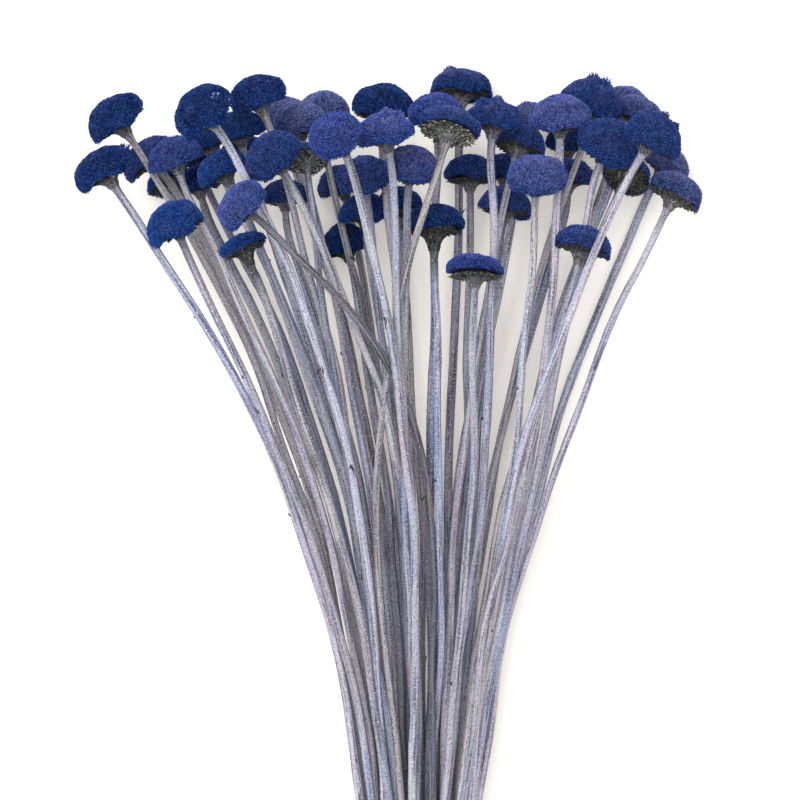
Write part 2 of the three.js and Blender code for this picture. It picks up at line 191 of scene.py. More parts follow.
# Growing a piece from a mesh and a node tree

def new_growth(name, sockets):
    """A geometry tree with named inputs, and the sockets that give them."""
    tree = bpy.data.node_groups.new(name, "GeometryNodeTree")
    tree.interface.new_socket("Geometry", in_out="OUTPUT", socket_type="NodeSocketGeometry")
    tree.interface.new_socket("Geometry", in_out="INPUT", socket_type="NodeSocketGeometry")
    for socket, kind in sockets.items():
        tree.interface.new_socket(socket, in_out="INPUT", socket_type="NodeSocket" + kind)
    return tree, add(tree, "NodeGroupInput").outputs


def end_growth(tree, geometry, finish):
    """Realizes what a geometry tree has made, and gives it its material."""
    real = add(tree, "GeometryNodeRealizeInstances", {"Geometry": geometry})
    smooth = add(tree, "GeometryNodeSetShadeSmooth", {"Geometry": real})
    done = add(tree, "GeometryNodeSetMaterial", {"Geometry": smooth, "Material": finish})
    add(tree, "NodeGroupOutput", {"Geometry": done})


def grown(name, mesh, tree, **values):
    """The plain mesh object that a geometry tree makes of a mesh."""
    host = shown(name + "_source", mesh)
    modifier = host.modifiers.new("growth", "NODES")
    modifier.node_group = tree
    for item in tree.interface.items_tree:
        key = item.name.lower().replace(" ", "_")
        if item.in_out == "INPUT" and key in values:
            modifier[item.identifier] = values[key]
    graph = bpy.context.evaluated_depsgraph_get()
    result = bpy.data.meshes.new_from_object(
        host.evaluated_get(graph), preserve_all_data_layers=True, depsgraph=graph
    )
    bpy.data.objects.remove(host)
    bpy.data.meshes.remove(mesh)
    return shown(name, result)


def shown(name, data):
    """An object in the scene for a mesh, a light or a camera."""
    data.name = name
    piece = bpy.data.objects.new(name, data)
    bpy.context.scene.collection.objects.link(piece)
    return piece


def plain_mesh(name, points, faces=(), edges=(), **values):
    """A mesh with a named value, or a named list of three, at each of its points."""
    mesh = bpy.data.meshes.new(name)
    mesh.from_pydata([list(p) for p in points], [list(e) for e in edges], [list(f) for f in faces])
    for key, column in values.items():
        column = np.array(column, np.float32)
        is_vector = column.ndim == 2
        kind = "FLOAT_VECTOR" if is_vector else "FLOAT"
        attribute = mesh.attributes.new(key, kind, "POINT")
        attribute.data.foreach_set("vector" if is_vector else "value", column.ravel())
    return mesh


def pattern(name, points, faces, **values):
    """A shape for a tree to copy, which isn't rendered itself."""
    shape = shown(name, plain_mesh(name, points, faces, **values))
    shape.hide_render = True
    return shape


def lines_mesh(lines):
    """A mesh of lines, each with its points in millimetres and values, one or one a point."""
    points, edges, columns = [], [], {}
    for line, values in lines:
        first = len(points)
        points.extend(line * MM)
        edges.extend((k, k + 1) for k in range(first, len(points) - 1))
        for name, value in values.items():
            columns.setdefault(name, []).extend(np.broadcast_to(value, len(line)))
    return plain_mesh("lines", points, edges=edges, **columns)


def tube_faces(rings, sides):
    """The faces of a tube closed at both ends, from the counts of its rings and sides."""
    faces = [tuple(range(sides))[::-1], tuple(range((rings - 1) * sides, rings * sides))]
    for start in range(0, (rings - 1) * sides, sides):
        for side in range(sides):
            near, after = start + side, start + (side + 1) % sides
            faces.append((near, after, after + sides, near + sides))
    return faces


# Directions and curves

# How much of an axis stands upright when it counts as steep
STEEP = 0.8


def unit(vector):
    """The vector made one unit long."""
    return vector / np.linalg.norm(vector)


def compass(degrees, rise=0.0):
    """A direction by its degrees clockwise from +Y, as the camera sees it."""
    angle = math.radians(degrees)
    return np.array([math.sin(angle), math.cos(angle), rise])


def square_to(axis):
    """Two directions square to an axis and to each other."""
    helper = np.array([0, 0, 1.0]) if abs(axis[2]) < STEEP else np.array([1.0, 0, 0])
    first = unit(np.cross(helper, axis))
    return first, np.cross(axis, first)


def way_round(sides, angle):
    """The direction at an angle from the first of two sides towards the second."""
    return sides[0] * math.cos(angle) + sides[1] * math.sin(angle)


def bezier(ends, steps):
    """Points on a cubic curve, in even steps, without its last end."""
    a, b, c, d = ends
    t = (np.arange(steps) / steps)[:, None]
    return a * (1 - t) ** 3 + 3 * b * t * (1 - t) ** 2 + 3 * c * t**2 * (1 - t) + d * t**3


def run_along(line):
    """How far along the line each of its points is."""
    return np.concatenate([[0], np.cumsum(np.linalg.norm(np.diff(line, axis=0), axis=1))])


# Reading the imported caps, and working out the stalks from them

# The cosine from which two faces of a cap count as parts of one flat
ONE_FLAT = 0.9999

# How many steps each stretch of a stalk and its cup is drawn in
CUT_STEPS = 7
LONG_STEPS = 44
BEND_STEPS = 6
CUP_STEPS = 9

# A stalk's small crooks, which begin past the tie, grow, and fade before the cup
WANDER = 0.4
WANDER_WAVES = (57, 92)
WANDER_LESS = 0.3
WANDER_FROM = 12
WANDER_GROWS = 45
WANDER_FADES = 25

# The joints where leaves grew, and how much and how shortly they swell
FIRST_JOINT = 10
JOINT_SPACING = 38
JOINT_VARIES = 8
JOINTS_END = 24
JOINT_SWELLS = 0.13
JOINT_SHORT = 2.6

# How thick a stalk is at its cut end, and how much of that it loses by its neck
CUT_THICK = 1.04
TAPER = 0.1


def read_cap(number):
    """A bloom's middle, facing, radius and dome, in millimetres, from its packed cap.

    The flat under the cap is the widest set of its faces that all face one way.
    """
    mesh = frame["nodes"][f"florets_{number:02d}"].data
    normals, middles, areas = [
        np.array([getattr(face, key) for face in mesh.polygons])
        for key in ("normal", "center", "area")
    ]
    alike = normals @ normals.T > ONE_FLAT
    base = alike[np.argmax(alike @ areas)]
    axis = unit(-normals[base].mean(axis=0))
    centre = np.average(middles[base], axis=0, weights=areas[base])
    points = np.array([point.co for point in mesh.vertices])
    flats = [face for face, flat in zip(mesh.polygons, base) if flat]
    corners = sorted({corner for face in flats for corner in face.vertices})
    reach = np.linalg.norm(points[corners] - centre, axis=1)
    radius = reach[reach > reach.max() / 2].mean() / BASE_SHARE
    dome = ((points - centre) @ axis).max() / radius
    return SimpleNamespace(
        number=number, centre=centre / MM, axis=axis, radius=radius / MM, dome=dome
    )


def tie_middle():
    """The middle of the tie, in millimetres."""
    low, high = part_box("tie")
    return np.array([(low.x + high.x) / 2 / MM, (low.y + high.y) / 2 / MM, TIE_HEIGHT])


def stalk_slots(count):
    """The places of the stalks in the tie, close packed, from the left column to the right.

    They are the nearest to its middle, to a micrometre, and the lower of any two alike.
    """
    across = SLOT_SPACING * math.sqrt(0.75)
    slots = []
    for column in range(-SLOT_COLUMNS, SLOT_COLUMNS + 1):
        for row in range(-SLOT_COLUMNS - 1, SLOT_COLUMNS + 2):
            x = column * across
            z = (row + abs(column) % 2 / 2) * SLOT_SPACING
            slots.append((round(math.hypot(x, z), 3), z, x))
    return sorted((x, z) for _, z, x in sorted(slots)[:count])


def stalk_line(head, slot, tie):
    """A stalk's middle line and its radius at each point, from its cut end to its cap."""
    number, centre, axis = head.number, head.centre, head.axis
    turn = GOLDEN_ANGLE * number
    waver = WAVER * math.sin(WAVER_TURNS * turn)
    fan = FAN_PER_MM * (centre[0] - tie[0] - FAN_CENTRE) + waver
    lean = compass(STRAYS.get(number, fan))
    rise, sweep = REACHES.get(number, (RISE, SWEEP))
    cup = centre + axis * CUP_OUTLINE[0][1] * DEEP_CUPS.get(number, 1) * head.radius
    neck = cup - unit(axis + lean) * BEND
    place = tie + np.array([slot[0], 0, slot[1]])
    cut = -CUT_END + CUT_UNEVEN * math.sin(CUT_TURNS * turn)
    foot = tie + np.array([slot[0] * CUT_FLARE, cut, slot[1] * CUT_FLARE])
    low = tie + np.array([slot[0] * SPREAD, rise, slot[1]])
    high = neck - lean * sweep
    high[2] = place[2] + LIFT * (neck[2] - place[2])
    pull = BEND * BEND_PULL
    out = unit(neck - high)
    long_curve = bezier((place, low, high, neck), LONG_STEPS)
    bend_curve = bezier((neck, neck + out * pull, cup - axis * pull, cup), BEND_STEPS)
    straight = foot + (place - foot) * (np.arange(CUT_STEPS) / CUT_STEPS)[:, None]
    line = np.concatenate([straight, long_curve, bend_curve])
    thickness = STALK_RADIUS * (1 + STALK_VARIES * math.sin(turn))
    return wandered(line, number, tie), thickness * swelling(line, number)


def wandered(line, number, tie):
    """The line with the small crooks of a grown stalk, which fade out at the tie and the cup."""
    run = run_along(line)
    free = np.clip((line[:, 1] - tie[1] - WANDER_FROM) / WANDER_GROWS, 0, 1)
    free *= np.clip((run[-1] - run) / WANDER_FADES, 0, 1)
    draws = random.Random(SEEDS["crooks"] + number)
    moved = line.copy()
    for wave in WANDER_WAVES:
        for way in (0, 2):
            size = WANDER * draws.uniform(WANDER_LESS, 1) * wave / WANDER_WAVES[0]
            moved[:, way] += free * size * np.sin(FULL_TURN * (run / wave + draws.random()))
    return moved


def joints_of(number, long):
    """Where along a stalk its leaves grew."""
    draws = random.Random(SEEDS["joints"] + number)
    first = draws.uniform(FIRST_JOINT, JOINT_SPACING)
    joints = np.arange(first, long - JOINTS_END, JOINT_SPACING)
    return [joint + draws.uniform(-JOINT_VARIES, JOINT_VARIES) for joint in joints]


def swelling(line, number):
    """How the stalk's thickness varies: it swells at the joints and tapers to the neck."""
    run = run_along(line)
    size = CUT_THICK - TAPER * run / run[-1]
    for joint in joints_of(number, run[-1]):
        size += JOINT_SWELLS * np.exp(-(((run - joint) / JOINT_SHORT) ** 2))
    return size


def cup_line(head):
    """The middle line and radius of the cup of bracts that a stalk widens into."""
    deep = DEEP_CUPS.get(head.number, 1)
    widths, depths = zip(*CUP_OUTLINE)
    depth = np.linspace(depths[0], depths[-1], CUP_STEPS)
    width = np.interp(depth, depths, widths)
    line = head.centre + np.outer(depth * deep * head.radius - CUP_GAP, head.axis)
    return line, width * head.radius


# Materials

# The gloss of all that is dry, the detail in every cloudy pattern, and the stalks' greys
DULL = 0.12
CLOUD_DETAIL = 3
STALK_GREYS = ("#918e9e", "#a7a4b2", "#8a95ae", "#aaa5a1", "#7d7a86", "#b8b5bf")

# How bright the florets are at root and tip under painted shade, and how much one varies from the
# next
FLORET_PAINTED_SHADE = (0.36, 1.03)
FLORET_DRAWS = (0.7, 1.27)

# How wide and high the fibres of bark and jute are
BARK_FIBRE = 1
BARK_RELIEF = 0.18
JUTE_FIBRE = 0.5
JUTE_RELIEF = 0.15

# How strongly the white panel glows
PANEL_GLOW = 0.2


def new_finish(name, *values):
    """A dull material, its tree, and nodes that read the values that a mesh holds."""
    finish = bpy.data.materials.new(name)
    finish.use_nodes = True
    tree = finish.node_tree
    shader = tree.nodes["Principled BSDF"]
    shader.inputs["Roughness"].default_value = 1
    shader.inputs["Specular IOR Level"].default_value = DULL
    readers = [add(tree, "ShaderNodeAttribute", attribute_name=value) for value in values]
    return finish, tree, *readers


def end_finish(tree, colour, height=None, depth_mm=0.0):
    """Gives the shader its colour, and the bumps that a pattern raises, if any."""
    shader = tree.nodes["Principled BSDF"]
    tree.links.new(first_output(colour), shader.inputs["Base Color"])
    if height:
        bump = add(tree, "ShaderNodeBump", {"Height": height, "Distance": depth_mm * MM})
        tree.links.new(first_output(bump), shader.inputs["Normal"])


def mottled(tree, colour, coats, place=None):
    """A colour under coats of others, each in cloudy patches.

    A coat has its colour, the size of its patches in millimetres, the levels of the clouds
    where it begins and where it is full, its strength there, and a value that fades it, where
    one does.
    """
    place = place or add(tree, "ShaderNodeTexCoord").outputs["Object"]
    for coat, size, begins, full, strength, *fades in coats:
        links = {"Vector": place, "Scale": 1 / (size * MM), "Detail": CLOUD_DETAIL}
        clouds = add(tree, "ShaderNodeTexNoise", links)
        links = {"Value": clouds, "From Min": begins, "From Max": full, "To Max": strength}
        share = add(tree, "ShaderNodeMapRange", links)
        for fade in fades:
            share = add(tree, "ShaderNodeMath", {0: share, 1: fade}, operation="MULTIPLY")
        links = {"Factor": share, "A": colour, "B": linear(coat)}
        colour = add(tree, "ShaderNodeMix", links, data_type="RGBA")
    return colour


def dyed_florets():
    """Dried disc florets soaked in blue dye: matt plush, with painted shade down between the
    florets, lilac dust on their crowns, and the strongest blue round the rims, partly the
    dye's own and partly painted shade that darkens the lighter blooms there."""
    finish, tree, dye, tip, grain, rim, dusty = new_finish(
        "dyed_dried_florets", "dye", "tip", "grain", "rim", "dusty"
    )
    clean = add(tree, "ShaderNodeMath", {0: 1, 1: dusty}, operation="SUBTRACT")
    coats = [
        ("#2a6ea8", 5, 0.5, 0.68, 0.32),
        ("#54458c", 4, 0.5, 0.68, 0.4),
        # Round the rims: partly the dye's own stronger blue, partly painted shade darkening the
        # lighter blooms
        ("#1f52b4", 7, 0.4, 0.6, 0.6, rim),
        ("#8885b8", 3.5, 0.4, 0.62, 0.75, dusty),
        ("#0a1844", 1.2, 0.46, 0.66, 0.65),
        ("#4f78c0", 1.3, 0.52, 0.66, 0.4),
        ("#4670c4", 0.8, 0.52, 0.62, 0.5, clean),
        ("#050c2c", 1, 0.5, 0.62, 0.55, clean),
    ]
    colour = mottled(tree, dye, coats)
    # Painted shade: each floret darkens from its tip down to its root between the others
    depth, draw = [
        add(tree, "ShaderNodeMapRange", {"Value": value, "To Min": low, "To Max": high})
        for value, (low, high) in ((tip, FLORET_PAINTED_SHADE), (grain, FLORET_DRAWS))
    ]
    value = add(tree, "ShaderNodeMath", {0: depth, 1: draw}, operation="MULTIPLY")
    end_finish(tree, add(tree, "ShaderNodeHueSaturation", {"Color": colour, "Value": value}))
    return finish


def dry_stalk():
    """Dried ribbed stalk: matt and woody, lilac grey, with blue, mauve, tan, grey green, pale
    and dark runs along it, fine pale and dark specks, and almost black cups."""
    finish, tree, hue, cup, light, bark = new_finish(
        "dried_ribbed_stalk", "hue", "cup", "light", "bark"
    )
    ramp = add(tree, "ShaderNodeValToRGB", {"Fac": hue})
    while len(ramp.color_ramp.elements) < len(STALK_GREYS):
        ramp.color_ramp.elements.new(0.5)
    for k, (element, colour) in enumerate(zip(ramp.color_ramp.elements, STALK_GREYS)):
        element.position = k / (len(STALK_GREYS) - 1)
        element.color = linear(colour)
    runs = [
        ("#6482b2", 4.6, 0.52, 0.65, 0.52),
        ("#8d7796", 4.1, 0.55, 0.68, 0.4),
        ("#c2a290", 2.4, 0.6, 0.7, 0.5),
        ("#b6baac", 2.6, 0.56, 0.68, 0.55),
        ("#cfcddd", 1.6, 0.5, 0.7, 0.45),
        ("#403f50", 1.1, 0.5, 0.64, 0.82),
    ]
    specks = [
        ("#dddbe8", 0.45, 0.54, 0.66, 0.62),
        ("#34333f", 0.5, 0.55, 0.66, 0.7),
        ("#26261f", 1, 0.25, 0.45, 0.95, cup),
        ("#777a74", 0.8, 0.52, 0.66, 0.6, cup),
    ]
    bark = bark.outputs["Vector"]
    colour = mottled(tree, mottled(tree, ramp, runs, bark), specks)
    colour = add(tree, "ShaderNodeHueSaturation", {"Color": colour, "Value": light})
    links = {"Vector": bark, "Scale": 1 / (BARK_FIBRE * MM), "Detail": CLOUD_DETAIL}
    end_finish(tree, colour, add(tree, "ShaderNodeTexNoise", links), BARK_RELIEF)
    return finish


def dry_bract():
    """Dried bracts: papery, grey at the neck and almost black under the rim, that black partly
    their own colour and partly painted shade under the cap, with paler flecks, and pale grey
    green on the few blooms whose bracts kept their colour."""
    finish, tree, grain, pale = new_finish("dried_papery_bracts", "grain", "shade")
    # Near black where the grain is low, under the rim: partly the bracts' own colour, partly
    # painted shade
    links = {"Factor": grain, "A": linear("#222220"), "B": linear("#74767c")}
    colour = add(tree, "ShaderNodeMix", links, data_type="RGBA")
    coats = [
        ("#6c7067", 0.8, 0.54, 0.68, 0.5),
        ("#a9ad9c", 0.8, 0.42, 0.58, 1.0, pale),
        ("#2b2c28", 0.5, 0.5, 0.62, 0.8),
    ]
    end_finish(tree, mottled(tree, colour, coats))
    return finish


def dry_scrap():
    """Dried scraps of florets and husk, each of its own colour, with darker flecks."""
    finish, tree, shade = new_finish("dried_plant_scraps", "shade")
    end_finish(tree, mottled(tree, shade, [("#3a3638", 0.5, 0.5, 0.7, 0.5)]))
    return finish


def cut_pith():
    """Cut stalk end: soft cream pith with fine pores."""
    finish, tree, grain = new_finish("cut_stalk_pith", "grain")
    links = {"Factor": grain, "A": linear("#d9cfb4"), "B": linear("#c4b693")}
    colour = add(tree, "ShaderNodeMix", links, data_type="RGBA")
    end_finish(tree, mottled(tree, colour, [("#93856b", 0.35, 0.5, 0.65, 0.8)]))
    return finish


def jute():
    """Two-ply jute twine: loosely spun bast fibre, straw brown with darker fibres along it."""
    finish, tree, bark = new_finish("two_ply_jute", "bark")
    bark = bark.outputs["Vector"]
    fibres = mottled(tree, linear("#bfa576"), [("#75603d", 0.5, 0.4, 0.66, 0.9)], bark)
    colour = mottled(tree, fibres, [("#d8c8a2", 5, 0.35, 0.65, 0.35)])
    links = {"Vector": bark, "Scale": 1 / (JUTE_FIBRE * MM), "Detail": CLOUD_DETAIL}
    end_finish(tree, colour, add(tree, "ShaderNodeTexNoise", links), JUTE_RELIEF)
    return finish


def white_surface():
    """The plain matt white panel that the bunch lies on, lit a little from behind."""
    finish, tree = new_finish("matt_white_panel")
    shader = tree.nodes["Principled BSDF"]
    shader.inputs["Base Color"].default_value = linear("#f8f5f0")
    shader.inputs["Emission Color"].default_value = linear("#fff6e6")
    shader.inputs["Emission Strength"].default_value = PANEL_GLOW
    return finish


# Blooms

# How full the crown is, 2 being round, and the blooms that are fuller
CROWN = 1.85
ROUNDER = {
    9: 2.1, 15: 2.15, 21: 2.0, 22: 2.0, 24: 2.2, 38: 2.2, 39: 2.2, 45: 2.05, 46: 2.1, 51: 2.0,
}

# The form of a dome. Each point of its lip has its width, its height and its nearness, the
# share of the rim's own form and colour that it takes.
CROWN_RINGS = 12
LIP_OUTLINE = [
    (1, -0.03, 1), (0.985, -0.09, 1), (0.94, -0.13, 1), (0.86, -0.11, 0.8), (0.8, -0.05, 0.5),
]
COVERED_LIP_RINGS = 2
UNDERSIDE = 0.55
FORM_SIDES = 40
NEARNESS = 3
UNEVEN_RIM = 0.25
RIM_WAVES = 1.3
RIMS_APART = 9
ABOVE_SURFACE = 1.5

# Lumps by their size and depth, as shares of the radius, and clumps and tufts of longer
# florets by their width and how much longer they are
LUMPS = ((0.9, 0.045), (0.35, 0.04))
LUMPS_APART = 3.7
CLUMP_WIDE = 2.4
CLUMP_LONG = 0.3
TUFT_WIDE = 1.3
TUFT_LONG = 2.2

# One floret, with its own shape as shares of its size, and the painted shade at its mouth
FLORET_LONG = 0.75
FLORET_PROUD = 0.45
FLORET_WIDE = 0.48
FLORET_LOBES = 3
MOUTH_WIDE = 0.5
MOUTH_HIGH = 0.78
MOUTH_PAINTED_SHADE_LEVEL = 0.75
FLORET_ROOT = -0.1

# How the florets are packed, and how much they lean and vary
FLORET_SPACING = 0.352
PLACES_TRIED = 6
FLORET_TILT = 0.24
FLORET_LONGER = (0.8, 1.25)
FLORET_WIDER = (0.85, 1.15)
RIM_SHORTER = 0.35


def cap_outline(dome, crown):
    """A bloom's outline from its crown to under its rim: width, height and nearness to the rim."""
    outline = []
    for k in range(CROWN_RINGS + 1):
        angle = math.pi / 2 * k / CROWN_RINGS
        width, height = math.sin(angle) ** (2 / crown), dome * math.cos(angle) ** (2 / crown)
        outline.append((width, height, (k / CROWN_RINGS) ** NEARNESS))
    return outline + LIP_OUTLINE


def bloom_form(head):
    """The dome that the florets stand on, closed underneath, with what they take from it."""
    radius, centre, axis = head.radius, head.centre, head.axis
    sides = square_to(axis)
    inset = 1 - FLORET_PROUD / radius
    outline = cap_outline(head.dome, ROUNDER.get(head.number, CROWN))
    rings = outline + [(UNDERSIDE, 0.0, 0)]
    covered_rings = CROWN_RINGS + COVERED_LIP_RINGS
    points, rim, covered = [], [], []
    for k, (width, height, nearness) in enumerate(rings):
        for side in range(FORM_SIDES if k else 1):
            out = way_round(sides, FULL_TURN * side / FORM_SIDES)
            point = (out * width + axis * height) * radius * inset
            drop = nearness * radius * rim_drop(out, head)
            point = centre + point * (1 + lump(point, head)) - axis * drop
            point[2] = max(point[2], ABOVE_SURFACE)
            points.append(point)
            rim.append(nearness)
            covered.append(float(k <= covered_rings))
    points.append(centre)
    rim.append(0)
    covered.append(0)
    tuft = tuft_values(np.array(points), head)
    tone, dust = next(dye[:2] for dye in DYES.values() if head.number in dye[2])
    dusty = DUSTIER.get(head.number, dust) * (1 - np.array(rim))
    dye = [linear(tone)[:3]] * len(points)
    return plain_mesh(
        "form", np.array(points) * MM, form_faces(len(rings)), rim=rim, covered=covered,
        tuft=tuft, dye=dye, dusty=dusty,
    )


def rim_drop(out, head):
    """How far the rim hangs or lifts in this direction, as a share of the radius."""
    uneven = noise.noise(Vector(out * RIM_WAVES) + Vector((0, 0, head.radius * RIMS_APART)))
    degrees, droop = DROOPING.get(head.number, (0, 0))
    droop *= max(0, out @ compass(degrees)) ** 2
    return UNEVEN_RIM * uneven + droop - LIFTED.get(head.number, 0)


def form_faces(rings):
    """Faces of a turned form whose first ring is one point and which closes in another."""
    first, last = 1 + FORM_SIDES * np.arange(rings - 1), 1 + FORM_SIDES * (rings - 1)
    faces = []
    for side in range(FORM_SIDES):
        after = (side + 1) % FORM_SIDES
        faces.append((0, first[0] + side, first[0] + after))
        for near, far in zip(first, first[1:-1]):
            faces.append((near + side, far + side, far + after, near + after))
        faces.append((first[-2] + side, last - FORM_SIDES, first[-2] + after))
    return faces


def lump(point, head):
    """How far the dome bulges or dips here, as a share of its size."""
    place = Vector(point / head.radius) + Vector((head.number * LUMPS_APART, 0, 0))
    return sum(depth * 2 * noise.noise(place / size) for size, depth in LUMPS)


def tuft_values(points, head):
    """How much each point of the form lies in a clump or a tuft of long florets."""
    values = np.array([noise.noise(Vector(point / CLUMP_WIDE)) for point in points])
    values = CLUMP_LONG * np.maximum(values, 0)
    for degrees in TUFTS.get(head.number, ()):
        outward = (points - head.centre) @ compass(degrees)
        gap = np.linalg.norm(points - points[np.argmax(outward)], axis=1)
        values = np.maximum(values, np.exp(-((gap / TUFT_WIDE) ** 2)))
    return values


def floret_shape():
    """One floret, a unit long: a tube that flares to its lobes, with a bud between."""
    turns = [FULL_TURN * k / FLORET_LOBES for k in range(FLORET_LOBES)]
    ring = [(MOUTH_WIDE * math.cos(t), MOUTH_WIDE * math.sin(t), MOUTH_HIGH) for t in turns]
    after = [*range(2, FLORET_LOBES + 1), 1]
    top = FLORET_LOBES + 1
    faces = [(0, after[k], k + 1) for k in range(FLORET_LOBES)]
    faces += [(top, k + 1, after[k]) for k in range(FLORET_LOBES)]
    # Each point's level on the painted shade, darkest at the root
    tips = [0, *[MOUTH_PAINTED_SHADE_LEVEL] * FLORET_LOBES, 1]
    return pattern("floret", [(0, 0, FLORET_ROOT), *ring, (0, 0, 1)], faces, tip=tips)


def packed_florets():
    """The tree that packs florets all over a form, square to it, each a little its own way."""
    sockets = {"Floret": "Object", "Size": "Vector", "Seed": "Int", "Finish": "Material"}
    tree, given = new_growth("packed_florets", sockets)
    covered, tuft, rim = [
        add(tree, "GeometryNodeInputNamedAttribute", {"Name": name})
        for name in ("covered", "tuft", "rim")
    ]
    links = {
        "Mesh": given["Geometry"],
        "Distance Min": FLORET_SPACING * MM,
        "Density Max": PLACES_TRIED / (FLORET_SPACING * MM) ** 2,
        "Density Factor": covered,
        "Seed": given["Seed"],
    }
    spread = add(tree, "GeometryNodeDistributePointsOnFaces", links, distribute_method="POISSON")
    ranges = [(0, FULL_TURN), FLORET_LONGER, FLORET_WIDER, (0, 1)]
    spin, longer, wider, grain = [
        add(tree, "FunctionNodeRandomValue", {"Min": low, "Max": high, "Seed": salt})
        for salt, (low, high) in enumerate(ranges)
    ]
    links = {"Min": (-FLORET_TILT,) * 3, "Max": (FLORET_TILT,) * 3, "Seed": len(ranges)}
    tilt = add(tree, "FunctionNodeRandomValue", links, data_type="FLOAT_VECTOR")
    way = add(tree, "ShaderNodeVectorMath", {0: spread.outputs["Normal"], 1: tilt})
    upright = add(tree, "FunctionNodeAlignRotationToVector", {"Vector": way}, axis="Z")
    turn = add(tree, "FunctionNodeAxisAngleToRotation", {"Angle": spin})
    links = {"Rotation": upright, "Rotate By": turn}
    rotation = add(tree, "FunctionNodeRotateRotation", links, rotation_space="LOCAL")
    reach = add(tree, "ShaderNodeMath", {0: tuft, 1: TUFT_LONG, 2: 1}, operation="MULTIPLY_ADD")
    links = {0: rim, 1: -RIM_SHORTER, 2: longer}
    shorter = add(tree, "ShaderNodeMath", links, operation="MULTIPLY_ADD")
    long = add(tree, "ShaderNodeMath", {0: shorter, 1: reach}, operation="MULTIPLY")
    draw = add(tree, "ShaderNodeCombineXYZ", {"X": wider, "Y": wider, "Z": long})
    size = add(tree, "ShaderNodeVectorMath", {0: draw, 1: given["Size"]}, operation="MULTIPLY")
    shape = add(tree, "GeometryNodeObjectInfo", {"Object": given["Floret"]})
    links = {"Points": spread, "Instance": shape.outputs["Geometry"]}
    links |= {"Rotation": rotation, "Scale": size}
    florets = add(tree, "GeometryNodeInstanceOnPoints", links)
    links = {"Geometry": florets, "Name": "grain", "Value": grain}
    florets = add(tree, "GeometryNodeStoreNamedAttribute", links, domain="INSTANCE")
    # The form between the florets holds no tip value, so it takes the darkest painted shade
    joined = add(tree, "GeometryNodeJoinGeometry", {"Geometry": florets})
    tree.links.new(given["Geometry"], joined.inputs["Geometry"])
    end_growth(tree, joined, given["Finish"])
    return tree


def make_blooms(heads, finish):
    """One piece of packed florets for each bloom, over its packed cap."""
    tree, floret = packed_florets(), floret_shape()
    size = (FLORET_WIDE * MM, FLORET_WIDE * MM, FLORET_LONG * MM)
    for head in heads:
        bloom = grown(
            f"bloom_{head.number:02d}", bloom_form(head), tree, floret=floret, size=size,
            seed=head.number, finish=finish,
        )
        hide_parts(f"florets_{head.number:02d}")
        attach(bloom, "root")
    bpy.data.objects.remove(floret)


# Stalks, cups and cut ends

STALK_SIDES = 14
RIBS = 7
RIB_DEEP = 0.05

# How light the stalks are, and those that the draw doesn't settle
STALK_LIGHT = (0.78, 1.26)
SHADES = {39: 0.45, 23: 0.7, 45: 1.25, 46: 1.25, 54: 1.2}

# How dark the neck is where it meets the cup, and how long that stretch is
NECK_SHADE = 0.35
DARK_NECK_SHADE = 0.9
NECK_LONG = 16

# The pattern on the bark: its width round the stalk, how little of it lies along it, and how
# far it moves from one stalk or ply to the next
GRAIN_ROUND = 2
GRAIN_STRETCH = 0.05
STALKS_APART = 0.05
PLIES_APART = 0.01


def swept_lines():
    """The tree that sweeps a ribbed section along lines, and notes the way round and along."""
    sockets = {"Sides": "Int", "Ribs": "Float", "Rib Deep": "Float", "Finish": "Material"}
    tree, given = new_growth("swept_lines", sockets)
    thick, angle, run, apart = [
        add(tree, "GeometryNodeInputNamedAttribute", {"Name": name})
        for name in ("thick", "angle", "run", "apart")
    ]
    curve = add(tree, "GeometryNodeMeshToCurve", {"Mesh": given["Geometry"]})
    length = add(tree, "GeometryNodeSplineParameter").outputs["Length"]
    links = {"Geometry": curve, "Name": "run", "Value": length}
    curve = add(tree, "GeometryNodeStoreNamedAttribute", links)
    links = {"Resolution": given["Sides"], "Radius": 1.0}
    ring = add(tree, "GeometryNodeCurvePrimitiveCircle", links, mode="RADIUS")
    share = add(tree, "GeometryNodeSplineParameter")
    turn = add(tree, "ShaderNodeMath", {0: share, 1: FULL_TURN}, operation="MULTIPLY")
    links = {"Geometry": ring, "Name": "angle", "Value": turn}
    ring = add(tree, "GeometryNodeStoreNamedAttribute", links)
    ribs = add(tree, "ShaderNodeMath", {0: angle, 1: given["Ribs"]}, operation="MULTIPLY")
    wave = add(tree, "ShaderNodeMath", {0: ribs}, operation="COSINE")
    links = {0: wave, 1: given["Rib Deep"], 2: 1}
    stretch = add(tree, "ShaderNodeMath", links, operation="MULTIPLY_ADD")
    links = {"Vector": add(tree, "GeometryNodeInputPosition"), "Scale": stretch}
    ribbed = add(tree, "ShaderNodeVectorMath", links, operation="SCALE")
    ring = add(tree, "GeometryNodeSetPosition", {"Geometry": ring, "Position": ribbed})
    links = {"Curve": curve, "Profile Curve": ring, "Fill Caps": True, "Scale": thick}
    swept = add(tree, "GeometryNodeCurveToMesh", links)
    links = {
        "X": add(tree, "ShaderNodeMath", {0: angle}, operation="COSINE"),
        "Y": add(tree, "ShaderNodeMath", {0: angle}, operation="SINE"),
    }
    around = add(tree, "ShaderNodeCombineXYZ", links)
    links = {0: run, 1: GRAIN_STRETCH, 2: apart}
    along = add(tree, "ShaderNodeMath", links, operation="MULTIPLY_ADD")
    along = add(tree, "ShaderNodeCombineXYZ", {"Z": along})
    links = {0: around, 1: (GRAIN_ROUND * MM,) * 3, 2: along}
    bark = add(tree, "ShaderNodeVectorMath", links, operation="MULTIPLY_ADD")
    links = {"Geometry": swept, "Name": "bark", "Value": bark}
    swept = add(tree, "GeometryNodeStoreNamedAttribute", links, data_type="FLOAT_VECTOR")
    end_growth(tree, swept, given["Finish"])
    return tree


